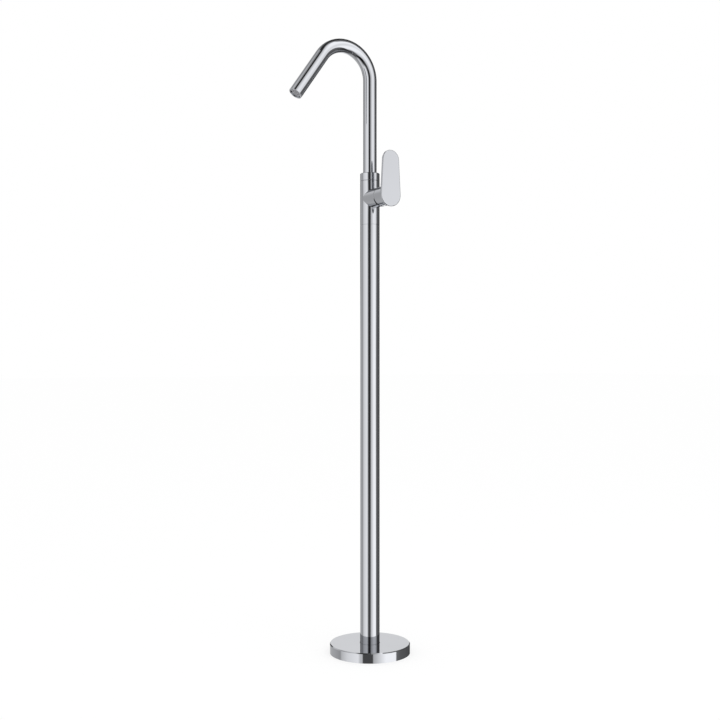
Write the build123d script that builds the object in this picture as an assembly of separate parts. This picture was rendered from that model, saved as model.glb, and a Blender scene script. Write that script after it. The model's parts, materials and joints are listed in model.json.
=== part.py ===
from build123d import *
import os
from math import asin, cos, degrees, pi, radians, sin, sqrt, tan

# Floor-standing basin mixer with a swivelling gooseneck spout and a paddle lever.
# Millimetres. The origin is the centre of the base on the floor and +Z is up.
# The spout points to -Y at rest, and the lever's axis runs along +X.

os.makedirs("parts", exist_ok=True)

# Column and body
COLUMN_D = 36.0
COLUMN_WALL = 1.5
SEAM_Z = 788.0          # joint line between the column and the mixer body
BODY_H = 95.0           # mixer body with its swivel collar
COLLAR_H = 14.0
SEAM_BREAK = 0.25       # chamfer on both sides of each joint line

# Base
BASE_D = 148.0
BASE_H = 18.0
COVER_WALL = 2.5
COVER_BOSS_H = 1.5      # extra depth round the column hole, for the seal's groove
COVER_BOSS_W = 6.0
COVER_EDGE = 1.5        # chamfer round the cover's top
COVER_GAP = 0.3
COVER_SEAL_SECTION = 2.0
SEAL_LIP = 0.2          # thickness of a seal's lip, as a share of its section
GASKET_T = 1.0
PLATE_T = 3.5
PLATE_MARGIN = 5.5      # from the plate's edge to the inside of the cover
BOLT_COUNT = 4
BOLT_HOLE_D = 9.0
BOLT_EDGE = 10.0        # from a bolt hole's centre to the plate's edge
FOOT_D = 80.0
FOOT_T = 4.5
FOOT_SPIGOT_H = 38.0
FOOT_SPIGOT_WALL = 2.5
FOOT_SCREW_D = 6.0
FOOT_SCREW_HEAD_D = 11.5
FOOT_SCREW_EDGE = 9.0
FOOT_SCREW_COUNT = 4
FOOT_SCREW_KEY = 4.0

# Inlet block and hoses
BLOCK_H = 26.0
BLOCK_RIM_T = 2.5
BLOCK_RIM_W = 7.0
BLOCK_SCREW_D = 3.0
SCREW_SLOT_W = 0.8
SCREW_SLOT_DEPTH = 0.6
SCREW_END_GAP = 0.5     # between a screw's or ring's end and the face beyond it
INLET_D = 10.0
INLET_DEPTH = 14.0
MANIFOLD_GASKET_T = 0.8
MANIFOLD_SCREW_D = 3.0
MANIFOLD_SCREW_GRIP = 8.0
PASSAGE_D = 5.3
HOSE_D = 10.0
HOSE_WALL = 2.0
HOSE_BOW = 3.6          # how far the slack hoses stand off at half height
SLEEVE_WALL = 0.75
SLEEVE_L = 14.0
NIPPLE_THREAD_L = 7.0
NIPPLE_COLLAR_H = 3.0
NIPPLE_TAIL_L = 12.0
NIPPLE_WALL = 0.8
HOSE_GAP = 1.4          # between the two hose sleeves

# Joint between column and body
SPIGOT_L = 22.0
SPIGOT_SHARE = 0.4      # the spigot's wall, as a share of the room beside the hoses
COUPLER_EXTRA = 4.0     # how far the coupler reaches below the spigot
CEILING_T = 2.0         # the body's underside lies this far above the joint line
EDGE_BREAK = 0.4

# Branch and cartridge, along the lever's axis
BRANCH_STEP = 0.4       # the branch is this much slimmer than the body
BRANCH_L = 38.6
SEAT_X = 10.0
CARTRIDGE_D = 25.0
CARTRIDGE_WALL = 1.6
CARTRIDGE_H = 18.5
NECK_D = 18.2
NECK_WALL = 0.8
NECK_L = 9.0
BASE_FLANGE_T = 1.5
BASE_PLUG_T = 2.0
DISC_T = 3.0
CARRIER_T = 4.1
CARRIER_TONGUE_T = 1.4
GUIDE_FLANGE_T = 2.0
STEM_W = 7.0
STEM_ARM = 7.2          # from the tilt pin to the ball
STEM_BALL_D = 4.2
STEM_NECK_D = 3.0
STEM_END_L = 30.5       # from the tilt pin to the outer end
STEM_PIN_D = 3.0
PIVOT_X = 30.0
PORT_Y = 4.6
PORT_Z = 2.2
PORT_D = 3.6
MIX_PORT_Z = -4.5
MIX_PORT_D = 4.5
PORT_SEAL_H = 0.9
PORT_SEAL_W = 1.5
DISC_POCKET_D = 9.6
DISC_POCKET_Z = -2.6
CARRIER_FLOOR_T = 0.8
CARRIER_STEP = 1.5      # the carrier is this much slimmer than the moving disc
STEM_CHAMFER = 0.6
SUPPLY_BORE_D = 6.0
DRILL_OVERRUN = 1.0     # how far a drilled bore runs past the one that it meets
NUT_L = 7.0
NUT_SLOT_W = 3.0
NUT_SLOT_DEPTH = 1.5
DOME_T = 1.2
DOME_INSET = 0.4        # the dome's edge lies this far inside the branch's mouth
DOME_SINK = 0.2         # the dome's rim lies this far below the branch's end
DOME_LAP = 0.5          # how far the dome's shell runs into its rim
DOME_ROOM = 5.0         # between the dome's top and the floor of the hub's hollow

# Lever
TILT_MAX = 15.0         # degrees
RIM_GAP = 1.0
TILT_GAP = 0.4
HUB_END_X = 65.5
PADDLE_T = 4.5
PADDLE_LOW_R = 21.0
PADDLE_TOP_R = 17.4
PADDLE_RISE = 62.5
PADDLE_FRONT_R = 1.4
PADDLE_BACK_R = 1.2
LEVER_SCREW_D = 5.0
LEVER_SCREW_L = 8.0
LEVER_SCREW_KEY = 2.5
LEVER_KEY_DEPTH = 2.5
SCREW_PLUG_T = 2.5

# Spout
SPOUT_D = 25.0
SPOUT_WALL = 1.2
SPOUT_RISE = 170.0      # straight tube above the collar
SPOUT_R = 56.5
SPOUT_TURN = 144.5      # degrees
SPOUT_LEG = 93.5
SWIVEL_HALF = 75.0      # degrees each way
SOCKET_WEB = 2.5
INSERT_STEP = 1.0       # the insert is this much slimmer than the tube
INSERT_BORE = 14.0
INSERT_FLANGE_W = 2.5
INSERT_FLANGE_T = 7.0
INSERT_TOP_L = 14.0
LOW_SEAL_AT = 0.2       # heights in the spout's socket, as shares of its depth
STOP_AT = 0.52
HIGH_SEAL_AT = 0.84
SEAL_SECTION = 1.8
GLIDE_T = 0.4
GLIDE_INSET = 0.35
STOP_SCREW_D = 4.0
STOP_TIP_D = 2.8
STOP_TIP_L = 2.0
STOP_SCREW_KEY = 2.0
STOP_KEY_DEPTH = 1.8

# Outlet
OUTLET_RECESS = 0.8
OUTLET_SLEEVE_L = 15.0
OUTLET_SLEEVE_WALL = 1.3
AERATOR_L = 11.0
AERATOR_WALL = 1.5
AERATOR_INSET = 0.4
AERATOR_LEDGE_T = 1.0
NOTCH_COUNT = 8
NOTCH_W = 3.0
NOTCH_DEPTH = 1.6
GRID_T = 2.0
GRID_RIM = 0.7
GRID_HOLE = 1.25
GRID_PITCH = 1.75
GRID_RECESS = 1.2
SCREEN_T = 0.8
SCREEN_HOLE_D = 1.5
SCREEN_PITCH = 2.8
AERATOR_SEAL_T = 1.5
AERATOR_SEAL_W = 2.5

# Clearances
FIT = 0.05              # radial, where parts slide, screw or press together
TOUCH = 0.02            # where a seal bears on a face
CLEAR = 0.3             # between pieces that move apart
OVER = 1.0              # how far a cut or a joined bar runs past the face that it meets

# Sizes that follow
column_bore = COLUMN_D - 2 * COLUMN_WALL
plate_d = BASE_D - 2 * COVER_WALL - 2 * PLATE_MARGIN
plate_top = GASKET_T + PLATE_T
foot_top = plate_top + FOOT_T
foot_spigot_d = column_bore - 2 * FIT
foot_bore = foot_spigot_d - 2 * FOOT_SPIGOT_WALL
foot_screw_r = FOOT_D / 2 - FOOT_SCREW_EDGE
block_d = foot_bore - 2 * FIT
block_bottom = plate_top - BLOCK_RIM_T
inlet_top = block_bottom + INLET_DEPTH
manifold_z = inlet_top + MANIFOLD_GASKET_T
block_top = plate_top + BLOCK_H
block_rim_d = foot_bore + 2 * BLOCK_RIM_W
block_screw_r = (foot_bore + block_rim_d) / 4
manifold_screw_r = block_d / 2 - MANIFOLD_SCREW_D
plate_bore = block_rim_d + 2 * CLEAR
sleeve_d = HOSE_D + 2 * FIT + 2 * SLEEVE_WALL
hose_y = (sleeve_d + HOSE_GAP) / 2
hose_bore = HOSE_D - 2 * HOSE_WALL
nipple_bore = hose_bore - 2 * FIT - 2 * NIPPLE_WALL
nipple_thread_d = HOSE_D - 2 * FIT

hose_room = column_bore / 2 - hose_y - sleeve_d / 2
spigot_d = column_bore - hose_room
spigot_bore = spigot_d - 2 * SPIGOT_SHARE * hose_room
ceiling_z = SEAM_Z + CEILING_T
body_top = SEAM_Z + BODY_H - COLLAR_H - GLIDE_T
collar_z = body_top + GLIDE_T
collar_top = collar_z + COLLAR_H
axis_z = SEAM_Z + BODY_H / 2
branch_d = COLUMN_D - BRANCH_STEP

chamber_d = CARTRIDGE_D + 4 * FIT
mouth_d = (chamber_d + branch_d) / 2
cartridge_x = SEAT_X + FIT
disc_x = cartridge_x + BASE_FLANGE_T + BASE_PLUG_T
moving_x = disc_x + DISC_T + TOUCH
carrier_x = moving_x + DISC_T
carrier_end_x = carrier_x + CARRIER_T
guide_x = carrier_end_x + CLEAR
guide_flange_end_x = guide_x + GUIDE_FLANGE_T
shoulder_x = cartridge_x + CARTRIDGE_H
neck_end_x = shoulder_x + NECK_L
cartridge_bore = CARTRIDGE_D - 2 * CARTRIDGE_WALL
neck_bore = NECK_D - 2 * NECK_WALL
guide_d = neck_bore - 2 * FIT
nut_d = mouth_d - 2 * FIT
disc_travel = STEM_ARM * radians(TILT_MAX)
disc_rest = -disc_travel / 2
moving_disc_d = cartridge_bore - disc_travel - 2 * CLEAR
slot_w = STEM_W + 2 * CLEAR
dome_r = mouth_d / 2 - FIT - DOME_INSET
dome_mouth_r = STEM_W / sqrt(2) + dome_r * sin(radians(TILT_MAX)) + CLEAR
hub_bore = 2 * (dome_r + TILT_GAP)
hub_x = BRANCH_L + RIM_GAP
hub_floor_x = PIVOT_X + dome_r + DOME_ROOM
stem_end_x = PIVOT_X + STEM_END_L
lever_screw_x = (hub_floor_x + stem_end_x) / 2

spout_bore = SPOUT_D - 2 * SPOUT_WALL
spout_bend_z = collar_top + SPOUT_RISE
socket_d = SPOUT_D - INSERT_STEP
socket_z = axis_z + chamber_d / 2 + SOCKET_WEB
insert_flange_d = SPOUT_D + 2 * INSERT_FLANGE_W
tube_z = collar_z + INSERT_FLANGE_T
insert_z = socket_z + SCREW_END_GAP
socket_h = body_top - socket_z
stop_z = socket_z + STOP_AT * socket_h
low_seal_z = socket_z + LOW_SEAL_AT * socket_h
high_seal_z = socket_z + HIGH_SEAL_AT * socket_h
bend_end_y = -SPOUT_R + SPOUT_R * cos(radians(SPOUT_TURN))
bend_end_z = spout_bend_z + SPOUT_R * sin(radians(SPOUT_TURN))
outlet_dir = (0, -sin(radians(SPOUT_TURN)), cos(radians(SPOUT_TURN)))
outlet_y = bend_end_y + SPOUT_LEG * outlet_dir[1]
outlet_z = bend_end_z + SPOUT_LEG * outlet_dir[2]
outlet_sleeve_bore = spout_bore - 2 * FIT - 2 * OUTLET_SLEEVE_WALL
aerator_d = outlet_sleeve_bore - 2 * FIT
aerator_end = -OUTLET_RECESS - AERATOR_INSET
aerator_start = aerator_end - AERATOR_L


def rod(d, low, high):
    """Round bar about Z between two heights."""
    bar = Cylinder(d / 2, high - low, align=(Align.CENTER, Align.CENTER, Align.MIN))
    return Pos(0, 0, low) * bar


def pipe(d_out, d_in, low, high):
    """Round bar with a bore right through it."""
    return rod(d_out, low, high) - rod(d_in, low - OVER, high + OVER)


def along_lever(shape):
    """Turn a shape made about Z onto the lever's axis, with Z as the distance along +X."""
    return Pos(0, 0, axis_z) * Rot(0, 90, 0) * shape


def at_outlet(shape):
    """Put a shape made about Z at the spout's end, with +Z out of the spout."""
    face = Plane(origin=(0, outlet_y, outlet_z), x_dir=(1, 0, 0), z_dir=outlet_dir)
    return face.location * shape


def seal_ring(inner_d, section, height):
    """Lip seal round Z, notched above, with its inside on the given diameter."""
    inner = inner_d / 2
    outer = inner + section
    half = section / 2
    lip = SEAL_LIP * section
    outline = Polygon(
        (inner, -half),
        (outer, -half),
        (outer, half),
        (outer - lip, half),
        (inner + half, 0),
        (inner + lip, half),
        (inner, half),
        align=None,
    )
    return Pos(0, 0, height) * revolve(Plane.XZ * outline, Axis.Z)


def round_edges(shape, radius, height):
    """The shape's circular edges of one radius at one height."""
    circles = shape.edges().filter_by(GeomType.CIRCLE)
    return circles.filter_by(
        lambda edge: abs(edge.radius - radius) < 0.01 and abs(edge.center().Z - height) < 0.01
    )


def spread(shape, radius, count, start=0.0):
    """Copies of a shape on a circle about Z."""
    copies = [loc * shape for loc in PolarLocations(radius, count, start)]
    return Compound(children=copies)


# Base


def base_cover():
    """Low round cover with a bevelled top edge, and a boss round the column."""
    under = BASE_H - COVER_WALL
    cover = rod(BASE_D, 0, BASE_H) - rod(BASE_D - 2 * COVER_WALL, -OVER, under)
    cover += rod(COLUMN_D + 2 * COVER_BOSS_W, under - COVER_BOSS_H, under)
    cover -= rod(COLUMN_D + 2 * COVER_GAP, -OVER, BASE_H + OVER)
    groove_h = COVER_SEAL_SECTION + 2 * FIT
    groove_z = BASE_H - (COVER_WALL + COVER_BOSS_H) / 2
    groove_d = COLUMN_D + 2 * COVER_SEAL_SECTION + 4 * FIT
    cover -= rod(groove_d, groove_z - groove_h / 2, groove_z + groove_h / 2)
    cover = chamfer(round_edges(cover, BASE_D / 2, BASE_H), COVER_EDGE)
    return chamfer(round_edges(cover, COLUMN_D / 2 + COVER_GAP, BASE_H), EDGE_BREAK)


def cover_seal():
    """Rubber ring that centres the cover on the column."""
    height = BASE_H - (COVER_WALL + COVER_BOSS_H) / 2
    return seal_ring(COLUMN_D + 2 * TOUCH, COVER_SEAL_SECTION, height)


def floor_holes(d, low, high):
    """Bars for the four floor bolts' holes."""
    return spread(rod(d, low, high), plate_d / 2 - BOLT_EDGE, BOLT_COUNT, 180 / BOLT_COUNT)


def floor_gasket():
    """Thin rubber sheet under the floor plate."""
    sheet = pipe(plate_d, plate_bore, 0, GASKET_T)
    return sheet - floor_holes(BOLT_HOLE_D, -OVER, GASKET_T + OVER)


def floor_plate():
    """Steel plate that is bolted to the floor."""
    plate = pipe(plate_d, plate_bore, GASKET_T, plate_top)
    plate -= floor_holes(BOLT_HOLE_D, 0, plate_top + OVER)
    tapped = rod(FOOT_SCREW_D + 2 * FIT, 0, plate_top + OVER)
    plate -= spread(tapped, foot_screw_r, FOOT_SCREW_COUNT)
    return chamfer(round_edges(plate, plate_d / 2, plate_top), EDGE_BREAK)


def foot_screw(extra=0.0):
    """Countersunk screw with its head's top at foot_top, grown by extra for its hole."""
    head_h = (FOOT_SCREW_HEAD_D - FOOT_SCREW_D) / 2
    shank = rod(FOOT_SCREW_D + 2 * extra, GASKET_T + SCREW_END_GAP, foot_top - head_h / 2)
    head = Pos(0, 0, foot_top - head_h / 2) * Cone(
        FOOT_SCREW_D / 2 + extra, FOOT_SCREW_HEAD_D / 2 + extra, head_h
    )
    return shank + head


def column_foot():
    """Turned flange with a spigot that carries the column."""
    foot = rod(FOOT_D, plate_top, foot_top)
    foot += rod(foot_spigot_d, foot_top, foot_top + FOOT_SPIGOT_H)
    foot -= rod(foot_bore, plate_top - OVER, foot_top + FOOT_SPIGOT_H + OVER)
    foot -= spread(foot_screw(FIT), foot_screw_r, FOOT_SCREW_COUNT)
    block_thread = rod(BLOCK_SCREW_D + 2 * FIT, plate_top - OVER, foot_top + OVER)
    foot -= spread(block_thread, block_screw_r, 2)
    foot = chamfer(round_edges(foot, FOOT_D / 2, foot_top), EDGE_BREAK)
    return chamfer(round_edges(foot, foot_spigot_d / 2, foot_top + FOOT_SPIGOT_H), EDGE_BREAK)


def foot_screws():
    """Screws that hold the foot on the floor plate."""
    key = extrude(RegularPolygon(FOOT_SCREW_KEY / 2, 6, major_radius=False), FOOT_SCREW_KEY)
    screw = foot_screw() - Pos(0, 0, foot_top - FOOT_SCREW_KEY / 2) * key
    return spread(screw, foot_screw_r, FOOT_SCREW_COUNT)


# Supply


def both_lines(shape):
    """A shape for the hot line and its copy for the cold line."""
    return Compound(children=[Pos(0, side * hose_y, 0) * shape for side in (-1, 1)])


def inlet_block():
    """Brass block with two plug-in sockets and a rim that holds it under the foot."""
    block = rod(block_rim_d, block_bottom, plate_top) + rod(block_d, plate_top, inlet_top)
    block -= both_lines(rod(INLET_D, block_bottom - OVER, inlet_top + OVER))
    block -= spread(block_screw(FIT), block_screw_r, 2)
    return block - spread(manifold_screw(FIT), manifold_screw_r, 2)


def manifold_gasket():
    """Rubber sheet between the sockets and the hose manifold."""
    sheet = rod(block_d, inlet_top + TOUCH, manifold_z - TOUCH)
    sheet -= both_lines(rod(INLET_D + 2 * CLEAR, inlet_top, manifold_z))
    return sheet - spread(manifold_screw(FIT), manifold_screw_r, 2)


def hose_manifold():
    """Brass block above the sockets, with a thread for each hose."""
    block = rod(block_d, manifold_z, block_top)
    thread = rod(HOSE_D, block_top - NIPPLE_THREAD_L - OVER, block_top + OVER)
    block -= both_lines(rod(PASSAGE_D, manifold_z - OVER, block_top) + thread)
    return block - spread(manifold_screw(FIT), manifold_screw_r, 2)


def manifold_screw(extra=0.0):
    """Pan-head screw through the manifold, grown by extra for its hole."""
    shank = rod(MANIFOLD_SCREW_D + 2 * extra, inlet_top - MANIFOLD_SCREW_GRIP - extra, block_top)
    return shank + rod(2 * MANIFOLD_SCREW_D, block_top, block_top + MANIFOLD_SCREW_D / 2)


def manifold_screws():
    """Screws that clamp the hose manifold on the inlet block."""
    slot = Box(3 * MANIFOLD_SCREW_D, SCREW_SLOT_W, 2 * SCREW_SLOT_DEPTH)
    screw = manifold_screw() - Pos(0, 0, block_top + MANIFOLD_SCREW_D / 2) * slot
    return spread(screw, manifold_screw_r, 2)


def block_screw(extra=0.0):
    """Countersunk screw driven up through the block's rim."""
    head_h = BLOCK_SCREW_D / 2
    head = Pos(0, 0, block_bottom + head_h / 2) * Cone(
        BLOCK_SCREW_D + extra, BLOCK_SCREW_D / 2 + extra, head_h
    )
    shank = rod(BLOCK_SCREW_D + 2 * extra, block_bottom + head_h, foot_top - SCREW_END_GAP)
    return head + shank


def block_screws():
    """Screws that hold the inlet block in the foot."""
    slot = Box(3 * BLOCK_SCREW_D, SCREW_SLOT_W, 2 * SCREW_SLOT_DEPTH)
    screw = block_screw() - Pos(0, 0, block_bottom) * slot
    return spread(screw, block_screw_r, 2)


def nipple():
    """Hose tail standing on a face at height 0, with its thread below."""
    thread = rod(nipple_thread_d, -NIPPLE_THREAD_L, 0)
    collar = extrude(RegularPolygon(sleeve_d / 2, 6), NIPPLE_COLLAR_H)
    tail = rod(hose_bore - 2 * FIT, NIPPLE_COLLAR_H, NIPPLE_COLLAR_H + NIPPLE_TAIL_L)
    bore = rod(nipple_bore, -NIPPLE_THREAD_L - OVER, NIPPLE_COLLAR_H + NIPPLE_TAIL_L + OVER)
    return thread + collar + tail - bore


def lower_nipples():
    """Hose tails in the hose manifold."""
    return both_lines(Pos(0, 0, block_top) * nipple())


def upper_nipples():
    """Hose tails in the mixer body's underside."""
    return both_lines(Pos(0, 0, ceiling_z) * Rot(180, 0, 0) * nipple())


def hose_route(side):
    """Points of a slack hose between its two tails, bowed a little to one side."""
    low = block_top + NIPPLE_COLLAR_H
    high = ceiling_z - NIPPLE_COLLAR_H
    rise = (0, 0.07, 0.20, 0.36, 0.50, 0.64, 0.80, 0.93, 1)
    bow = (0, 0, 0.33, 0.83, 1, 0.83, 0.33, 0, 0)
    return [
        Vector(side * HOSE_BOW * out, side * hose_y, low + up * (high - low))
        for up, out in zip(rise, bow)
    ]


def corner_radii(points):
    """The largest round bend that each corner's two runs allow."""
    radii = []
    for before, corner, after in zip(points, points[1:], points[2:]):
        run_in = corner - before
        run_out = after - corner
        shorter = min(run_in.length, run_out.length)
        half_turn = radians(run_in.get_angle(run_out)) / 2
        radii.append(0.45 * shorter / tan(half_turn))
    return radii


def supply_hose(side):
    """Flexible hose from the manifold up to the mixer body."""
    points = hose_route(side)
    radii = corner_radii(points)
    path = FilletPolyline(*points, radius=radii)
    section = Circle(HOSE_D / 2) - Circle(hose_bore / 2)
    hose = sweep(Plane(points[0]) * section, path=path)
    area = pi * (HOSE_D**2 - hose_bore**2) / 4
    print("hose radii", [round(r) for r in radii], "length", round(path.length, 1))
    print("hose volume over section times length", round(hose.volume / area / path.length, 4))
    return hose


def hose_sleeves():
    """Crimped sleeves on the four hose ends."""
    sleeve = pipe(sleeve_d, HOSE_D + 2 * FIT, 0, SLEEVE_L)
    low = block_top + NIPPLE_COLLAR_H
    high = ceiling_z - NIPPLE_COLLAR_H - SLEEVE_L
    places = [(side * hose_y, z) for side in (-1, 1) for z in (low, high)]
    return Compound(children=[Pos(0, y, z) * sleeve for y, z in places])


# Column and body


def column_tube():
    """Polished tube from the foot to the mixer body."""
    tube = pipe(COLUMN_D, column_bore, foot_top, SEAM_Z)
    return chamfer(round_edges(tube, COLUMN_D / 2, SEAM_Z), SEAM_BREAK)


def column_coupler():
    """Threaded ring brazed into the top of the column."""
    low = SEAM_Z - SPIGOT_L - COUPLER_EXTRA
    high = SEAM_Z - SCREW_END_GAP
    ring = pipe(column_bore - 2 * TOUCH, spigot_d + 2 * FIT, low, high)
    return chamfer(round_edges(ring, spigot_d / 2 + FIT, high), EDGE_BREAK)


def mixer_body():
    """Cast tee with the cartridge chamber, supply passages and the spout's socket."""
    body = rod(COLUMN_D, SEAM_Z, body_top)
    body += along_lever(rod(branch_d, 0, BRANCH_L))
    for height in (SEAM_Z, body_top):
        body = chamfer(round_edges(body, COLUMN_D / 2, height), SEAM_BREAK)
    rim = body.edges().filter_by(GeomType.CIRCLE).sort_by(Axis.X)[-1]
    body = chamfer(rim, EDGE_BREAK)
    body += rod(spigot_d, SEAM_Z - SPIGOT_L, SEAM_Z + OVER)
    body -= rod(spigot_bore, SEAM_Z - SPIGOT_L - OVER, ceiling_z)
    body -= along_lever(rod(chamber_d, SEAT_X, BRANCH_L + OVER))
    body -= along_lever(rod(mouth_d, shoulder_x, BRANCH_L + OVER))
    body -= rod(socket_d, socket_z, body_top + OVER)
    port_z = axis_z + PORT_Z
    for side in (-1, 1):
        thread = rod(HOSE_D, ceiling_z - OVER, ceiling_z + NIPPLE_THREAD_L + OVER)
        riser = rod(SUPPLY_BORE_D, ceiling_z, port_z + PORT_D / 2 + DRILL_OVERRUN)
        body -= Pos(0, side * hose_y, 0) * (thread + riser)
        port = Pos(-PORT_Z, side * PORT_Y, 0) * rod(PORT_D, 0, SEAT_X + OVER)
        body -= along_lever(port)
    body -= along_lever(Pos(-MIX_PORT_Z, 0, 0) * rod(MIX_PORT_D, 0, SEAT_X + OVER))
    mix_low = axis_z + MIX_PORT_Z - MIX_PORT_D / 2 - DRILL_OVERRUN
    body -= rod(MIX_PORT_D, mix_low, socket_z + OVER)
    body -= stop_screw_bar(STOP_SCREW_D + 2 * FIT, 0, COLUMN_D)
    return body


def stop_screw_bar(d, start, end):
    """Bar along +Y at the stop screw's height, between two distances from the axis."""
    return Pos(0, 0, stop_z) * Rot(-90, 0, 0) * rod(d, start, end)


def swivel_stop_screw():
    """Grub screw at the back that limits the swivel and keeps the spout in its socket."""
    outer = COLUMN_D / 2 - SCREW_END_GAP
    screw = stop_screw_bar(STOP_SCREW_D, socket_d / 2 + FIT, outer)
    screw += stop_screw_bar(STOP_TIP_D, socket_d / 2 - STOP_TIP_L, outer - OVER)
    key = extrude(RegularPolygon(STOP_SCREW_KEY / 2, 6, major_radius=False), 2 * STOP_KEY_DEPTH)
    return screw - Pos(0, outer - STOP_KEY_DEPTH, stop_z) * Rot(-90, 0, 0) * key


# Swivelling spout


def glide_ring():
    """Plastic washer that the collar turns on."""
    return pipe(COLUMN_D - 2 * GLIDE_INSET, socket_d + 2 * FIT, body_top, collar_z - FIT)


def spout_insert():
    """Turned socket under the spout tube, with seal grooves and a stop groove."""
    stem_d = socket_d - 2 * FIT
    insert = rod(stem_d, insert_z, collar_z)
    insert += rod(insert_flange_d, collar_z, tube_z)
    insert += rod(spout_bore - 2 * TOUCH, tube_z, tube_z + INSERT_TOP_L)
    insert -= rod(INSERT_BORE, insert_z - OVER, tube_z + INSERT_TOP_L + OVER)
    groove_d = socket_d - 2 * SEAL_SECTION
    for height in (low_seal_z, high_seal_z):
        low = height - SEAL_SECTION / 2 - FIT
        high = height + SEAL_SECTION / 2 + FIT
        insert -= pipe(socket_d + OVER, groove_d - 2 * FIT, low, high)
    return insert - stop_groove()


def stop_groove():
    """Part-round groove in which the stop screw's tip runs."""
    depth = STOP_TIP_L + CLEAR
    mid_r = socket_d / 2 - depth / 2
    tip_turn = degrees(asin((STOP_TIP_D / 2 + CLEAR) / (socket_d / 2 - depth)))
    half = SWIVEL_HALF + tip_turn
    height = STOP_TIP_D + 2 * CLEAR
    section = Pos(mid_r + OVER / 2, stop_z) * Rectangle(depth + OVER, height)
    groove = revolve(Plane.XZ * section, Axis.Z, revolution_arc=2 * half)
    return Rot(0, 0, 90 - half) * groove


def swivel_seals():
    """Two lip seals between the insert and the body."""
    inner = socket_d - 2 * SEAL_SECTION - 2 * TOUCH
    rings = [seal_ring(inner, SEAL_SECTION, z) for z in (low_seal_z, high_seal_z)]
    return Compound(children=rings)


def swivel_collar():
    """Polished ring that hides the insert and turns with the spout."""
    collar = rod(COLUMN_D, collar_z, collar_top)
    collar -= rod(SPOUT_D + 2 * FIT, collar_z - OVER, collar_top + OVER)
    collar -= rod(insert_flange_d + 2 * FIT, collar_z - OVER, tube_z)
    collar = chamfer(round_edges(collar, COLUMN_D / 2, collar_z), SEAM_BREAK)
    return chamfer(round_edges(collar, COLUMN_D / 2, collar_top), 2 * EDGE_BREAK)


def spout_path(start_z):
    """The spout's centre line: up, over and down towards the basin."""
    rise = Line((0, 0, start_z), (0, 0, spout_bend_z))
    half_turn = radians(SPOUT_TURN / 2)
    crown = (0, -SPOUT_R + SPOUT_R * cos(half_turn), spout_bend_z + SPOUT_R * sin(half_turn))
    bend = ThreePointArc((0, 0, spout_bend_z), crown, (0, bend_end_y, bend_end_z))
    leg = Line((0, bend_end_y, bend_end_z), (0, outlet_y, outlet_z))
    return Wire([rise, bend, leg])


def spout_tube():
    """Bent tube with open ends."""
    section = Circle(SPOUT_D / 2) - Circle(spout_bore / 2)
    return sweep(Plane((0, 0, tube_z)) * section, path=spout_path(tube_z))


def outlet_sleeve():
    """Threaded sleeve brazed inside the spout's end."""
    return at_outlet(
        pipe(
            spout_bore - 2 * TOUCH,
            outlet_sleeve_bore,
            -OUTLET_RECESS - OUTLET_SLEEVE_L,
            -OUTLET_RECESS,
        )
    )


def aerator_shell():
    """Screw-in aerator body with key notches in its rim."""
    shell = pipe(aerator_d, aerator_d - 2 * AERATOR_WALL, aerator_start, aerator_end)
    floor_hole = aerator_d - 4 * AERATOR_WALL
    ledge_top = aerator_start + AERATOR_LEDGE_T
    shell += pipe(aerator_d - AERATOR_WALL, floor_hole, aerator_start, ledge_top)
    notch = Pos(0, 0, aerator_end) * Box(3 * AERATOR_WALL, NOTCH_W, 2 * NOTCH_DEPTH)
    shell -= spread(notch, aerator_d / 2, NOTCH_COUNT)
    return at_outlet(shell)


def hole_field(hole, pitch, reach):
    """Copies of a hole on a square grid, as far out as reach."""
    steps = range(-int(reach / pitch), int(reach / pitch) + 1)
    spots = [(i * pitch, j * pitch) for i in steps for j in steps]
    inside = [(x, y) for x, y in spots if sqrt(x * x + y * y) <= reach]
    return Compound(children=[Pos(x, y, 0) * hole for x, y in inside])


def aerator_grid():
    """Lattice that straightens the stream."""
    grid_d = aerator_d - 2 * AERATOR_WALL - 2 * FIT
    high = aerator_end - GRID_RECESS
    grid = rod(grid_d, high - GRID_T, high)
    hole = Pos(0, 0, high - GRID_T / 2) * Box(GRID_HOLE, GRID_HOLE, 2 * GRID_T)
    reach = grid_d / 2 - GRID_RIM - GRID_HOLE / sqrt(2)
    return at_outlet(grid - hole_field(hole, GRID_PITCH, reach))


def aerator_screen():
    """Perforated strainer at the aerator's inlet."""
    screen_d = aerator_d - 2 * AERATOR_WALL - 2 * FIT
    low = aerator_start + AERATOR_LEDGE_T
    screen = rod(screen_d, low, low + SCREEN_T)
    hole = rod(SCREEN_HOLE_D, low - OVER, low + SCREEN_T + OVER)
    return at_outlet(screen - hole_field(hole, SCREEN_PITCH, screen_d / 2 - 2 * SCREEN_HOLE_D))


def aerator_seal():
    """Flat washer behind the aerator."""
    ring = pipe(
        outlet_sleeve_bore - 2 * TOUCH,
        outlet_sleeve_bore - 2 * AERATOR_SEAL_W,
        aerator_start - AERATOR_SEAL_T,
        aerator_start,
    )
    return at_outlet(ring)


# Cartridge, with distances along the lever's axis and -X as up before it is turned


def valve_ports(low, high):
    """Bars for the hot, cold and mixed ports."""
    hot_cold = [Pos(-PORT_Z, s * PORT_Y, 0) * rod(PORT_D, low, high) for s in (-1, 1)]
    mixed = Pos(-MIX_PORT_Z, 0, 0) * rod(MIX_PORT_D, low, high)
    return Compound(children=hot_cold + [mixed])


def cartridge_base():
    """Plastic base with three ports and a groove round each."""
    plug_x = cartridge_x + BASE_FLANGE_T
    base = rod(CARTRIDGE_D - 4 * FIT, cartridge_x, plug_x)
    base += rod(cartridge_bore - 2 * FIT, plug_x, disc_x)
    base -= valve_ports(cartridge_x - OVER, disc_x + OVER)
    for d, spot in port_seal_places():
        base -= spot * rod(d, cartridge_x - OVER, cartridge_x + PORT_SEAL_H)
    return along_lever(base)


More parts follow.
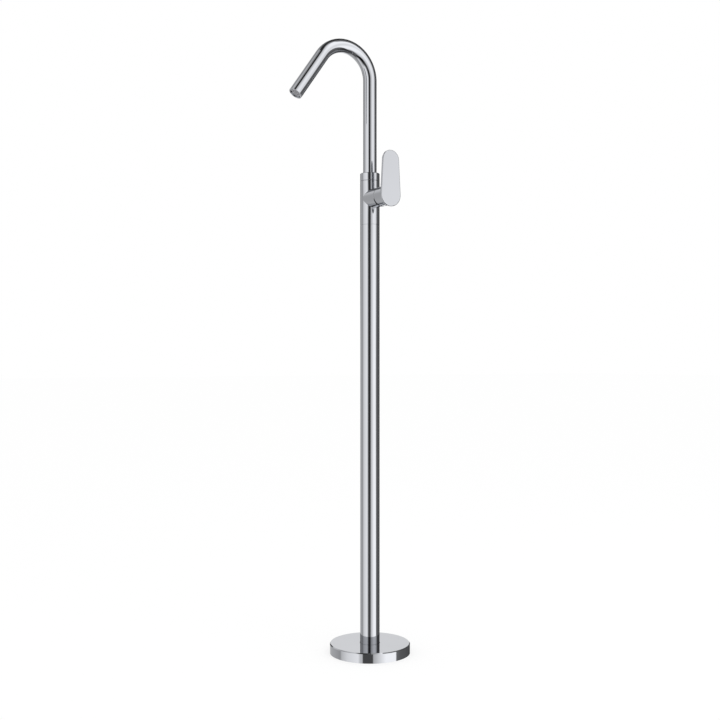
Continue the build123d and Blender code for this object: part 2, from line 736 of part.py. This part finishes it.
def port_seal_places():
    """Outer diameter and place of each port seal."""
    wider = 2 * PORT_SEAL_W
    small = [(PORT_D + wider, Pos(-PORT_Z, s * PORT_Y, 0)) for s in (-1, 1)]
    return small + [(MIX_PORT_D + wider, Pos(-MIX_PORT_Z, 0, 0))]


def cartridge_seals():
    """Flat rubber rings between the base and its seat."""
    low = SEAT_X + TOUCH
    high = cartridge_x + PORT_SEAL_H
    rings = [
        spot * pipe(d - 2 * FIT, d - 2 * PORT_SEAL_W + 2 * CLEAR, low, high)
        for d, spot in port_seal_places()
    ]
    return Compound(children=[along_lever(ring) for ring in rings])


def fixed_disc():
    """Lower ceramic disc with three ports."""
    disc = rod(cartridge_bore - 2 * FIT, disc_x, disc_x + DISC_T)
    return along_lever(disc - valve_ports(disc_x - OVER, disc_x + DISC_T + OVER))


def moving_disc():
    """Upper ceramic disc, whose pocket joins the ports when it is pushed up."""
    disc = rod(moving_disc_d, moving_x, moving_x + DISC_T)
    pocket = rod(DISC_POCKET_D, moving_x - OVER, moving_x + DISC_T / 2)
    disc -= Pos(-DISC_POCKET_Z, 0, 0) * pocket
    return along_lever(Pos(-disc_rest, 0, 0) * disc)


def disc_carrier():
    """Plastic carrier that the stem's ball pushes, keyed to the guide's slot."""
    carrier = rod(moving_disc_d - CARRIER_STEP, carrier_x, carrier_end_x)
    carrier = Pos(-disc_rest, 0, 0) * carrier
    tongue = Pos(0, 0, carrier_end_x + CARRIER_TONGUE_T / 2) * Box(
        STEM_W, STEM_W, CARRIER_TONGUE_T
    )
    carrier += tongue
    socket_floor = carrier_x + CARRIER_FLOOR_T
    tongue_end = carrier_end_x + CARRIER_TONGUE_T
    socket = rod(STEM_BALL_D + 2 * CLEAR + 4 * FIT, socket_floor, tongue_end + OVER)
    return along_lever(carrier - socket)


def cartridge_housing():
    """Plastic shell with a slim neck round the guide."""
    low = cartridge_x + BASE_FLANGE_T
    shell = rod(CARTRIDGE_D, low, shoulder_x) + rod(NECK_D, shoulder_x, neck_end_x)
    shell -= rod(cartridge_bore, low - OVER, guide_flange_end_x + FIT)
    shell -= rod(neck_bore, low, neck_end_x + OVER)
    return along_lever(shell)


def temperature_guide():
    """Turning guide that carries the tilt pin and keys the disc carrier."""
    guide = rod(cartridge_bore - 2 * FIT, guide_x, guide_flange_end_x)
    guide += rod(guide_d, guide_flange_end_x, neck_end_x - CLEAR)
    pin_reach = neck_end_x - PIVOT_X
    low = STEM_W / 2 + pin_reach * tan(radians(TILT_MAX)) + 2 * CLEAR
    high = STEM_W / 2 + disc_travel + 2 * CLEAR
    slot = Pos((low - high) / 2, 0, (guide_x + neck_end_x) / 2) * Box(
        low + high, slot_w, neck_end_x - guide_x + 2 * OVER
    )
    guide -= slot
    guide -= pin_bar(STEM_PIN_D + 2 * TOUCH, guide_d + 2 * OVER)
    return along_lever(guide)


def pin_bar(d, length):
    """Bar across the lever's axis at the tilt pin's place."""
    return Pos(0, 0, PIVOT_X) * Rot(90, 0, 0) * Cylinder(d / 2, length)


def stem_pin():
    """Steel pin that the stem tilts on."""
    return along_lever(pin_bar(STEM_PIN_D, guide_d - 2 * CLEAR))


def cartridge_stem():
    """Square stem with a round neck and a ball at its inner end."""
    square = Pos(0, 0, (PIVOT_X - STEM_W / 2 + stem_end_x) / 2) * Box(
        STEM_W, STEM_W, stem_end_x - PIVOT_X + STEM_W / 2
    )
    square = chamfer(square.faces().sort_by(Axis.Z)[-1].edges(), STEM_CHAMFER)
    ball_x = PIVOT_X - STEM_ARM
    neck = rod(STEM_NECK_D, ball_x, PIVOT_X)
    stem = square + neck + Pos(0, 0, ball_x) * Sphere(STEM_BALL_D / 2)
    return along_lever(stem - pin_bar(STEM_PIN_D + 2 * FIT, STEM_W + 2 * OVER))


def cartridge_nut():
    """Brass ring nut that clamps the cartridge, with four key slots."""
    nut = pipe(nut_d, NECK_D + 2 * CLEAR, shoulder_x, shoulder_x + NUT_L)
    slot = Pos(0, 0, shoulder_x + NUT_L) * Box(nut_d - NECK_D, NUT_SLOT_W, 2 * NUT_SLOT_DEPTH)
    return along_lever(nut - spread(slot, nut_d / 2, 4))


def dome_cap():
    """Polished cap that fills the branch's mouth and stays under the tilting hub."""
    rim_low = shoulder_x + NUT_L + FIT
    rim_high = BRANCH_L - DOME_SINK
    inner_r = dome_r - DOME_T
    ring_r = sqrt(inner_r**2 - (rim_high - PIVOT_X) ** 2) + DOME_SINK
    cap = Pos(0, 0, PIVOT_X) * (Sphere(dome_r) - Sphere(inner_r))
    cap -= rod(3 * dome_r, PIVOT_X - 2 * dome_r, rim_high - DOME_LAP)
    cap += pipe(nut_d, 2 * ring_r, rim_low, rim_high)
    cap -= rod(2 * dome_mouth_r, rim_low - OVER, PIVOT_X + 2 * dome_r)
    return along_lever(cap)


# Lever


def paddle():
    """Flat tapered paddle with round ends, standing up from the lever's axis."""
    low = Circle(PADDLE_LOW_R)
    top = Pos(-PADDLE_RISE, 0) * Circle(PADDLE_TOP_R)
    outline = make_hull(low.edges() + top.edges())
    blade = extrude(Pos(0, 0, HUB_END_X) * outline, PADDLE_T)
    front = blade.faces().sort_by(Axis.Z)[-1].edges()
    blade = fillet(front, PADDLE_FRONT_R)
    back = blade.faces().sort_by(Axis.Z)[0].edges()
    return fillet(back, PADDLE_BACK_R)


def tilt_relief():
    """Space that the branch's end needs when the lever is fully tilted."""
    block = 4 * COLUMN_D
    space = Pos(0, 0, BRANCH_L + TILT_GAP - PIVOT_X - block / 2) * Box(block, block, block)
    return Pos(0, 0, PIVOT_X) * Rot(0, -TILT_MAX, 0) * space


def lever():
    """Cast hub and paddle in one, hollow over the dome."""
    hub = rod(COLUMN_D, hub_x, HUB_END_X + PADDLE_T / 2)
    hub = chamfer(round_edges(hub, COLUMN_D / 2, hub_x), EDGE_BREAK)
    hub += paddle()
    hub -= rod(hub_bore, hub_x - OVER, hub_floor_x)
    hub -= tilt_relief()
    square = STEM_W + 2 * FIT
    hub -= Pos(0, 0, (hub_floor_x + stem_end_x) / 2) * Box(
        square, square, stem_end_x - hub_floor_x + OVER
    )
    hub -= lever_screw_bar(LEVER_SCREW_D + 2 * FIT, 0, COLUMN_D)
    return along_lever(hub)


def lever_screw_bar(d, start, end):
    """Bar that runs down from the lever's axis, between two distances from it."""
    return Pos(0, 0, lever_screw_x) * Rot(0, 90, 0) * rod(d, start, end)


def lever_screw():
    """Grub screw that clamps the lever on the stem."""
    start = STEM_W / 2 + TOUCH
    screw = lever_screw_bar(LEVER_SCREW_D, start, start + LEVER_SCREW_L)
    key = extrude(RegularPolygon(LEVER_SCREW_KEY / 2, 6, major_radius=False), 2 * LEVER_KEY_DEPTH)
    key = Pos(start + LEVER_SCREW_L - LEVER_KEY_DEPTH, 0, lever_screw_x) * Rot(0, 90, 0) * key
    return along_lever(screw - key)


def screw_plug():
    """Plug that closes the grub screw's hole under the hub."""
    end = COLUMN_D / 2 - SCREW_END_GAP
    return along_lever(lever_screw_bar(LEVER_SCREW_D, end - SCREW_PLUG_T, end))


NODES = {
    "base_cover": base_cover(),
    "cover_seal": cover_seal(),
    "floor_gasket": floor_gasket(),
    "floor_plate": floor_plate(),
    "column_foot": column_foot(),
    "foot_screws": foot_screws(),
    "inlet_block": inlet_block(),
    "block_screws": block_screws(),
    "manifold_gasket": manifold_gasket(),
    "hose_manifold": hose_manifold(),
    "manifold_screws": manifold_screws(),
    "lower_nipples": lower_nipples(),
    "hot_hose": supply_hose(1),
    "cold_hose": supply_hose(-1),
    "hose_sleeves": hose_sleeves(),
    "upper_nipples": upper_nipples(),
    "column_tube": column_tube(),
    "column_coupler": column_coupler(),
    "mixer_body": mixer_body(),
    "swivel_stop_screw": swivel_stop_screw(),
    "glide_ring": glide_ring(),
    "spout_insert": spout_insert(),
    "swivel_seals": swivel_seals(),
    "swivel_collar": swivel_collar(),
    "spout_tube": spout_tube(),
    "outlet_sleeve": outlet_sleeve(),
    "aerator_shell": aerator_shell(),
    "aerator_grid": aerator_grid(),
    "aerator_screen": aerator_screen(),
    "aerator_seal": aerator_seal(),
    "cartridge_base": cartridge_base(),
    "cartridge_seals": cartridge_seals(),
    "fixed_disc": fixed_disc(),
    "moving_disc": moving_disc(),
    "disc_carrier": disc_carrier(),
    "cartridge_housing": cartridge_housing(),
    "temperature_guide": temperature_guide(),
    "stem_pin": stem_pin(),
    "cartridge_stem": cartridge_stem(),
    "cartridge_nut": cartridge_nut(),
    "dome_cap": dome_cap(),
    "lever": lever(),
    "lever_screw": lever_screw(),
    "screw_plug": screw_plug(),
}

for name, shape in NODES.items():
    export_step(shape, f"parts/{name}.step")
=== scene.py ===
import json
import math
import bpy
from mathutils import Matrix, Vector

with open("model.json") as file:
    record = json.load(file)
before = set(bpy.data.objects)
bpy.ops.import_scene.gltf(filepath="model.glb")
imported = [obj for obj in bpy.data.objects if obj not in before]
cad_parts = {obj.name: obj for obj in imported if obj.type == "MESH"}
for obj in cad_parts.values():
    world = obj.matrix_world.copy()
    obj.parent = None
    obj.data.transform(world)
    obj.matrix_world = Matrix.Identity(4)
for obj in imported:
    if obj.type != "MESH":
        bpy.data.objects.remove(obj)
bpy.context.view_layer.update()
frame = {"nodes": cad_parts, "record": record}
nodes = frame["nodes"]
MM = 0.001

# Level camera, as fitted to the photograph, in metres, with a lens in mm
VIEW_TURN = math.radians(57.5)      # from straight at the spout's front, towards the lever
CAMERA_AWAY = 1.920
CAMERA_ASIDE = -0.01824
CAMERA_HEIGHT = 0.5392
CAMERA_LENS = 52.0

# Room and floor, with lengths in metres
ROOM = 1.0                          # plain white, for the camera and for matt surfaces
FLOOR_SIZE = 60.0
FLOOR_COLOUR = 0.98
FLOOR_SHADE = 0.995                 # the floor's darkest clouds, as a share of its colour
FLOOR_CLOUD = 0.4
FLOOR_GLOW = 0.7                    # share of plain white in the floor that the camera sees

# Key lamp, with lengths in metres and its power in watts
KEY_POWER = 8.0
KEY_SIZE = 1.6
KEY_AHEAD = 1.6
KEY_ASIDE = 1.4
KEY_HEIGHT = 2.4
KEY_AIM = 0.5                       # height of the point that it lights straight on

# Studio round the polished metal. A turn goes from the viewer to the right, a rise goes up from
# level, both in degrees, and a level of 1 is plain white. Each ring holds levels at turns.
FULL_TURN = 360
WALLS = (
    (-180, 1.36), (-172, 1.36), (-165, 1.00), (-135, 0.74), (-94, 0.50), (-89, 0.83), (-67, 1.19),
    (-34, 1.42), (-28, 0.92), (82, 0.24), (97, 0.17), (166, 0.12), (173, 1.28), (180, 1.36),
)
HIGH = (
    (-180, 0.06), (-168, 0.92), (-135, 0.98), (-115, 0.70), (-20, 0.56), (92, 0.15), (180, 0.06),
)
OVERHEAD = (
    (-180, 0.04), (-140, 0.36), (-110, 0.56), (-75, 0.98), (-45, 0.60), (60, 0.40), (90, 0.30),
    (115, 0.14), (180, 0.04),
)
CEILING = ((-180, 0.04), (-20, 0.04), (10, 0.35), (70, 0.45), (105, 0.12), (180, 0.04))
UNDER = (
    (-180, 0.35), (-155, 0.67), (-105, 0.48), (-84, 0.98), (-70, 1.10), (-50, 0.85), (-32, 0.25),
    (-10, 0.30), (92, 0.05), (150, 0.03), (180, 0.30),
)
HIGH_RISES = (16, 28)               # where each ring takes the place of the one before
OVERHEAD_RISES = (34, 48)
UNDER_RISES = (-25, -43)
CEILING_LEFT = (62.5, 69.5)         # rises of the ceiling's soft edge on the left
CEILING_RIGHT = (69, 83)
CEILING_TURNS = (-30, 10)           # where the edge goes over from left to right
NADIR = 0.14                        # level straight below
NADIR_RISES = (-80, -64)

# Dark doorway in the far left wall
DOOR_TURNS = (-158, -140)
DOOR_RISES = (0, 6)
DOOR_LEVEL = 0.05
DOOR_SOFT = 2.0

# Dark flag on the left of the panel. Its shade is a level at each of two rises.
FLAG_LEFT = -21.0
FLAG_SOFT = 1.5
FLAG_SHADE = (0.105, 0.05)
FLAG_SHADE_RISES = (-15, -4)
FLAG_DEEPEST = 0.01
FLAG_DEEP_RISES = (-44, -24)
CROWN_SPREAD = 12.0                 # how much wider the flag is overhead
CROWN_RISES = (40, 60)
FOOT_SPREAD = 7.0                   # how far each of its edges moves out near the floor
FOOT_RISES = (-16, -42)

# Bright panel. Its right edge leans out as it rises and falls back near the top, and its glow
# grows from the left edge.
PANEL_LEFT = 9.0
PANEL_RIGHT = 80.0
PANEL_SOFT = 2.0
PANEL_LEAN = 4.0
PANEL_LEAN_RISES = (0, 12)
PANEL_FALL = 18.0
PANEL_FALL_RISES = (46, 58)
PANEL_TOP = (76, 64)
PANEL_BOTTOM = (-64, -36)
GLOW = (0.72, 1.66)
GLOW_REACH = 37.0                   # turn over which the glow grows
DIP_SOFT = 5.0
RIGHT_DIP = 0.16                    # share of the glow that the panel's right side loses
RIGHT_DIP_RISES = (-6, 24)
RIGHT_DIP_TURNS = (52, 64)
MIDDLE_DIP = 0.10                   # share that its whole width loses at middle rises
MIDDLE_DIP_RISES = (7, 30)

# Polished chrome gives back this share of red, green and blue, and a little less at grazing angles
CHROME = (0.510, 0.520, 0.546)
CHROME_GRAZING = 0.7

# Surfaces
ROUND = (1, 1, 1)                   # grain that isn't drawn out
CLOUD_DETAIL = 3.0
GRAIN_DETAIL = 4.0
NOISE_SPAN = (0.3, 0.7)             # noise at which a surface has its two extremes
SMOOTHEST = 0.8                     # extremes of roughness, as shares of a surface's own
ROUGHEST = 1.25

# Braided hose. Each pair is for the gaps between the wires and for the wires.
BRAID_SLANT_X = 0.8                 # slant of the wires about X, in radians
BRAID_SLANT_Y = 0.6
BRAID_SCALE = 160.0
BRAID_COLOURS = ((0.10, 0.10, 0.10), (0.60, 0.60, 0.61))
BRAID_ROUGHNESS = (0.5, 0.28)
BRAID_DEPTH = 0.3                   # relief in mm

toward_viewer = Vector((math.sin(VIEW_TURN), -math.cos(VIEW_TURN), 0))
to_the_right = Vector((math.cos(VIEW_TURN), math.sin(VIEW_TURN), 0))


# Node building


def add_node(tree, kind, settings=None, **inputs):
    """A shader node with its options set and its inputs set or linked."""
    node = tree.nodes.new(kind)
    for key, value in (settings or {}).items():
        setattr(node, key, value)
    for key, value in inputs.items():
        numbered = key[0] == "i" and key[1:].isdigit()
        socket = node.inputs[int(key[1:]) if numbered else key]
        if isinstance(value, bpy.types.NodeSocket):
            tree.links.new(value, socket)
        else:
            socket.default_value = value
    return node


def calculate(tree, operation, a, b=0.0, c=0.0):
    """The result of a Math node."""
    node = add_node(tree, "ShaderNodeMath", {"operation": operation}, i0=a, i1=b, i2=c)
    return node.outputs[0]


def rescale(tree, value, span, result):
    """A value carried over from one span to another, and held at its ends."""
    low, high = span
    start, end = result
    node = add_node(tree, "ShaderNodeMapRange", i0=value, i1=low, i2=high, i3=start, i4=end)
    return node.outputs[0]


def step(tree, value, low, high):
    """0 below low, 1 above high and a smooth change between."""
    smooth = {"interpolation_type": "SMOOTHSTEP"}
    return add_node(tree, "ShaderNodeMapRange", smooth, i0=value, i1=low, i2=high).outputs[0]


def edge(tree, value, place, softness):
    """Soft step of a value at a place that may itself be worked out."""
    low = calculate(tree, "SUBTRACT", place, softness)
    high = calculate(tree, "ADD", place, softness)
    return step(tree, value, low, high)


def band(tree, value, left, right, softness):
    """1 between two edges and 0 outside them."""
    inside = edge(tree, value, left, softness)
    past = edge(tree, value, right, softness)
    return calculate(tree, "SUBTRACT", inside, past)


def blend(tree, share, a, b):
    """a where share is 0 and b where it is 1, as numbers."""
    node = add_node(tree, "ShaderNodeMix", {"data_type": "FLOAT"}, i0=share, i2=a, i3=b)
    return node.outputs[0]


# Studio light


def ring(tree, turn, stops):
    """Levels that run once round the studio."""
    around = calculate(tree, "MULTIPLY_ADD", turn, 1 / FULL_TURN, 0.5)
    node = add_node(tree, "ShaderNodeValToRGB", i0=around)
    elements = node.color_ramp.elements
    elements[0].position, elements[1].position = 0.0, 1.0
    while len(elements) < len(stops):
        elements.new(0.5)
    for element, (degrees, level) in zip(elements, stops):
        element.position = degrees / FULL_TURN + 0.5
        element.color = (level, level, level, 1)
    return node.outputs[0]


def ray_direction(tree):
    """Turn and rise of the direction from which light comes."""
    ray = add_node(tree, "ShaderNodeTexCoord").outputs["Generated"]
    dot = {"operation": "DOT_PRODUCT"}
    ahead = add_node(tree, "ShaderNodeVectorMath", dot, i0=ray, i1=toward_viewer).outputs["Value"]
    aside = add_node(tree, "ShaderNodeVectorMath", dot, i0=ray, i1=to_the_right).outputs["Value"]
    height = add_node(tree, "ShaderNodeSeparateXYZ", i0=ray).outputs["Z"]
    turn = calculate(tree, "DEGREES", calculate(tree, "ARCTAN2", aside, ahead))
    rise = calculate(tree, "DEGREES", calculate(tree, "ARCSINE", height))
    return turn, rise


def room_level(tree, turn, rise):
    """Walls with a doorway, and what lies above and below them."""
    door = band(tree, turn, *DOOR_TURNS, DOOR_SOFT)
    door = calculate(tree, "MULTIPLY", door, step(tree, rise, *DOOR_RISES))
    level = blend(tree, door, ring(tree, turn, WALLS), DOOR_LEVEL)
    level = blend(tree, step(tree, rise, *HIGH_RISES), level, ring(tree, turn, HIGH))
    level = blend(tree, step(tree, rise, *OVERHEAD_RISES), level, ring(tree, turn, OVERHEAD))
    return blend(tree, step(tree, rise, *UNDER_RISES), level, ring(tree, turn, UNDER))


def hang_flag(tree, turn, rise, level, foot, panel_left):
    """The level with the dark flag in front, which spreads overhead and near the floor."""
    shade = rescale(tree, rise, FLAG_SHADE_RISES, FLAG_SHADE)
    shade = blend(tree, step(tree, rise, *FLAG_DEEP_RISES), FLAG_DEEPEST, shade)
    crown = step(tree, rise, *CROWN_RISES)
    left = calculate(tree, "MULTIPLY_ADD", foot, -FOOT_SPREAD, FLAG_LEFT)
    left = calculate(tree, "MULTIPLY_ADD", crown, -CROWN_SPREAD, left)
    return blend(tree, band(tree, turn, left, panel_left, FLAG_SOFT), level, shade)


def dim(tree, glow, where, loss):
    """A glow that loses a share where another value is 1."""
    kept = calculate(tree, "MULTIPLY_ADD", where, -loss, 1.0)
    return calculate(tree, "MULTIPLY", glow, kept)


def hang_panel(tree, turn, rise, level, panel_left):
    """The level with the bright panel in front."""
    lean = rescale(tree, rise, PANEL_LEAN_RISES, (0, PANEL_LEAN))
    fall = rescale(tree, rise, PANEL_FALL_RISES, (0, -PANEL_FALL))
    right = calculate(tree, "ADD", calculate(tree, "ADD", lean, fall), PANEL_RIGHT)
    panel = band(tree, turn, panel_left, right, PANEL_SOFT)
    top = step(tree, rise, *PANEL_TOP)
    bottom = step(tree, rise, *PANEL_BOTTOM)
    panel = calculate(tree, "MULTIPLY", panel, calculate(tree, "MULTIPLY", top, bottom))

    glow = rescale(tree, turn, (PANEL_LEFT, PANEL_LEFT + GLOW_REACH), GLOW)
    dip = band(tree, rise, *RIGHT_DIP_RISES, DIP_SOFT)
    dip = calculate(tree, "MULTIPLY", dip, step(tree, turn, *RIGHT_DIP_TURNS))
    glow = dim(tree, glow, dip, RIGHT_DIP)
    glow = dim(tree, glow, band(tree, rise, *MIDDLE_DIP_RISES, DIP_SOFT), MIDDLE_DIP)
    return blend(tree, panel, level, glow)


def close_ceiling(tree, turn, rise, level):
    """The level with the ceiling above, which reaches lower on the left."""
    share = step(tree, turn, *CEILING_TURNS)
    low, high = (
        calculate(tree, "MULTIPLY_ADD", share, right - left, left)
        for left, right in zip(CEILING_LEFT, CEILING_RIGHT)
    )
    return blend(tree, step(tree, rise, low, high), level, ring(tree, turn, CEILING))


def studio_level(tree):
    """Brightness of the studio in each direction."""
    turn, rise = ray_direction(tree)
    foot = step(tree, rise, *FOOT_RISES)
    panel_left = calculate(tree, "MULTIPLY_ADD", foot, FOOT_SPREAD, PANEL_LEFT)
    level = room_level(tree, turn, rise)
    level = hang_flag(tree, turn, rise, level, foot, panel_left)
    level = hang_panel(tree, turn, rise, level, panel_left)
    level = close_ceiling(tree, turn, rise, level)
    return blend(tree, step(tree, rise, *NADIR_RISES), NADIR, level)


def build_world():
    """White room for the camera and matt surfaces, and the studio for polished metal."""
    world = bpy.data.worlds.new("studio")
    bpy.context.scene.world = world
    world.use_nodes = True
    world.cycles.sampling_method = "NONE"
    tree = world.node_tree
    tree.nodes.clear()
    path = add_node(tree, "ShaderNodeLightPath").outputs
    strength = blend(tree, path["Is Glossy Ray"], ROOM, studio_level(tree))
    background = add_node(tree, "ShaderNodeBackground", Color=(1, 1, 1, 1), Strength=strength)
    add_node(tree, "ShaderNodeOutputWorld", Surface=background.outputs[0])


def build_key():
    """One large soft lamp, high on the viewer's right."""
    lamp = bpy.data.lights.new("key", "AREA")
    lamp.energy = KEY_POWER
    lamp.size = KEY_SIZE
    key = bpy.data.objects.new("key", lamp)
    bpy.context.scene.collection.objects.link(key)
    key.location = toward_viewer * KEY_AHEAD + to_the_right * KEY_ASIDE + Vector((0, 0, KEY_HEIGHT))
    aim = Vector((0, 0, KEY_AIM)) - key.location
    key.rotation_euler = aim.to_track_quat("-Z", "Y").to_euler()
    key.visible_glossy = False


# Materials


def new_material(name):
    """An empty material with its Principled shader."""
    material = bpy.data.materials.new(name)
    material.use_nodes = True
    tree = material.node_tree
    tree.nodes.clear()
    shader = add_node(tree, "ShaderNodeBsdfPrincipled")
    add_node(tree, "ShaderNodeOutputMaterial", Surface=shader.outputs[0])
    return material, tree, shader


def grain(tree, size, stretch, detail):
    """Noise in the part's own space, with cells of a size in metres, drawn out by stretch."""
    coord = add_node(tree, "ShaderNodeTexCoord").outputs["Object"]
    scale = tuple(1 / (size * s) for s in stretch)
    spot = add_node(tree, "ShaderNodeMapping", Vector=coord, Scale=scale).outputs[0]
    return add_node(tree, "ShaderNodeTexNoise", Vector=spot, Scale=1.0, Detail=detail).outputs[0]


def spread_colour(tree, noise, low, high):
    """A colour that wanders between two values with the noise."""
    node = add_node(tree, "ShaderNodeValToRGB", i0=noise)
    for element, position, colour in zip(node.color_ramp.elements, NOISE_SPAN, (low, high)):
        element.position = position
        element.color = (*colour, 1)
    return node.outputs[0]


def add_relief(tree, shader, height, depth):
    """Relief of a depth in mm on a shader's surface."""
    relief = add_node(tree, "ShaderNodeBump", Strength=1.0, Distance=depth * MM, Height=height)
    tree.links.new(relief.outputs[0], shader.inputs["Normal"])


def tint(colour, factor):
    """A colour made lighter or darker, and kept below white."""
    return tuple(min(c * factor, 1.0) for c in colour)


def finish(name, colour, metallic, roughness, wander, cell, fine, depth, stretch=ROUND):
    """A surface with cloudy colour, and with a fine grain in its roughness and relief.

    Wander is the share by which the colour varies. Cell, fine and depth are the sizes of the
    clouds, of the grain and of its relief, in mm, and stretch draws the grain out.
    """
    material, tree, shader = new_material(name)
    cloud = grain(tree, cell * MM, ROUND, CLOUD_DETAIL)
    streak = grain(tree, fine * MM, stretch, GRAIN_DETAIL)
    shade = spread_colour(tree, cloud, tint(colour, 1 - wander), tint(colour, 1 + wander))
    tree.links.new(shade, shader.inputs["Base Color"])
    shader.inputs["Metallic"].default_value = metallic
    rough = rescale(tree, streak, NOISE_SPAN, (roughness * SMOOTHEST, roughness * ROUGHEST))
    tree.links.new(rough, shader.inputs["Roughness"])
    add_relief(tree, shader, streak, depth)
    return material


def chrome():
    """Bright plate over polished brass, with the faintest polishing haze."""
    material = finish(
        "chrome", CHROME, metallic=1, roughness=0.05, wander=0.012, cell=60, fine=6, depth=0.0004,
        stretch=(1, 1, 9),
    )
    shader = material.node_tree.nodes["Principled BSDF"]
    shader.inputs["Specular Tint"].default_value = (*(CHROME_GRAZING,) * 3, 1)
    return material


def brass():
    """Plain brass with turning marks."""
    return finish(
        "brass", (0.70, 0.50, 0.22), metallic=1, roughness=0.28, wander=0.06, cell=8, fine=0.4,
        depth=0.006, stretch=(6, 6, 1),
    )


def plate_steel():
    """Cut plate with a rolled grain."""
    return finish(
        "plate_steel", (0.50, 0.50, 0.51), metallic=1, roughness=0.38, wander=0.05, cell=12,
        fine=0.5, depth=0.01, stretch=(14, 1, 1),
    )


def screw_steel():
    """Bright steel of screws, sleeves and pins."""
    return finish(
        "screw_steel", (0.56, 0.56, 0.57), metallic=1, roughness=0.30, wander=0.05, cell=3,
        fine=0.3, depth=0.006, stretch=(1, 1, 4),
    )


def rubber():
    """Matt black seals and gaskets."""
    return finish(
        "rubber", (0.035, 0.035, 0.036), metallic=0, roughness=0.62, wander=0.15, cell=5,
        fine=0.35, depth=0.02,
    )


def grey_plastic():
    """Moulded lattice and screen of the aerator."""
    return finish(
        "grey_plastic", (0.36, 0.36, 0.38), metallic=0, roughness=0.38, wander=0.05, cell=4,
        fine=0.3, depth=0.008,
    )


def dark_plastic():
    """Dark moulded pieces, such as the glide ring and the temperature guide."""
    return finish(
        "dark_plastic", (0.05, 0.05, 0.055), metallic=0, roughness=0.42, wander=0.08, cell=4,
        fine=0.3, depth=0.01,
    )


def white_plastic():
    """Moulded housing and carrier of the cartridge."""
    return finish(
        "white_plastic", (0.80, 0.80, 0.77), metallic=0, roughness=0.40, wander=0.03, cell=5,
        fine=0.4, depth=0.008,
    )


def ceramic():
    """Lapped discs of the cartridge."""
    return finish(
        "ceramic", (0.86, 0.85, 0.82), metallic=0, roughness=0.12, wander=0.02, cell=3, fine=0.2,
        depth=0.002,
    )


def hose_braid():
    """Steel wires woven at a slant over a dark hose."""
    material, tree, shader = new_material("hose_braid")
    coord = add_node(tree, "ShaderNodeTexCoord").outputs["Object"]
    wires = []
    for side in (-1, 1):
        slant = (side * BRAID_SLANT_X, side * BRAID_SLANT_Y, 0)
        spot = add_node(tree, "ShaderNodeMapping", Vector=coord, Rotation=slant).outputs[0]
        along = {"bands_direction": "Z"}
        wave = add_node(tree, "ShaderNodeTexWave", along, Vector=spot, Scale=BRAID_SCALE)
        wires.append(wave.outputs["Fac"])
    weave = calculate(tree, "MAXIMUM", *wires)
    colour = spread_colour(tree, weave, *BRAID_COLOURS)
    tree.links.new(colour, shader.inputs["Base Color"])
    shader.inputs["Metallic"].default_value = 1.0
    rough = rescale(tree, weave, NOISE_SPAN, BRAID_ROUGHNESS)
    tree.links.new(rough, shader.inputs["Roughness"])
    add_relief(tree, shader, weave, BRAID_DEPTH)
    return material


def dress_nodes():
    """Give every node the finish of its slot."""
    makers = (
        chrome, brass, plate_steel, screw_steel, hose_braid,
        rubber, grey_plastic, dark_plastic, white_plastic, ceramic,
    )
    made = {maker.__name__: maker() for maker in makers}
    for subpart in frame["record"]["subparts"]:
        nodes[subpart["node"]].material_slots[0].material = made[subpart["material_slot"]]


# Stage


def build_floor():
    """Pale floor that keeps the object's soft shadow."""
    half = FLOOR_SIZE / 2
    mesh = bpy.data.meshes.new("floor")
    corners = [(-half, -half, 0), (half, -half, 0), (half, half, 0), (-half, half, 0)]
    mesh.from_pydata(corners, [], [(0, 1, 2, 3)])
    floor = bpy.data.objects.new("floor", mesh)
    bpy.context.scene.collection.objects.link(floor)
    material, tree, shader = new_material("pale_floor")
    cloud = grain(tree, FLOOR_CLOUD, ROUND, CLOUD_DETAIL)
    low = (FLOOR_COLOUR * FLOOR_SHADE,) * 3
    high = (FLOOR_COLOUR,) * 3
    tree.links.new(spread_colour(tree, cloud, low, high), shader.inputs["Base Color"])
    shader.inputs["Roughness"].default_value = 1.0
    shader.inputs["Specular IOR Level"].default_value = 0.0
    seen = add_node(tree, "ShaderNodeLightPath").outputs["Is Camera Ray"]
    share = calculate(tree, "MULTIPLY", seen, FLOOR_GLOW)
    glow = add_node(tree, "ShaderNodeEmission", Color=(1, 1, 1, 1), Strength=1.0)
    both = add_node(tree, "ShaderNodeMixShader", i0=share, i1=shader.outputs[0], i2=glow.outputs[0])
    tree.links.new(both.outputs[0], tree.nodes["Material Output"].inputs["Surface"])
    mesh.materials.append(material)
    floor.visible_glossy = False


def build_camera():
    """Camera at the photograph's place, with the horizon at half height."""
    camera = bpy.data.objects.new("camera", bpy.data.cameras.new("camera"))
    bpy.context.scene.collection.objects.link(camera)
    camera.data.lens = CAMERA_LENS
    ground = toward_viewer * CAMERA_AWAY + to_the_right * CAMERA_ASIDE
    camera.location = ground + Vector((0, 0, CAMERA_HEIGHT))
    camera.rotation_euler = (-toward_viewer).to_track_quat("-Z", "Y").to_euler()
    bpy.context.scene.camera = camera


build_world()
build_key()
dress_nodes()
build_floor()
build_camera()
bpy.context.scene.view_settings.view_transform = "Standard"
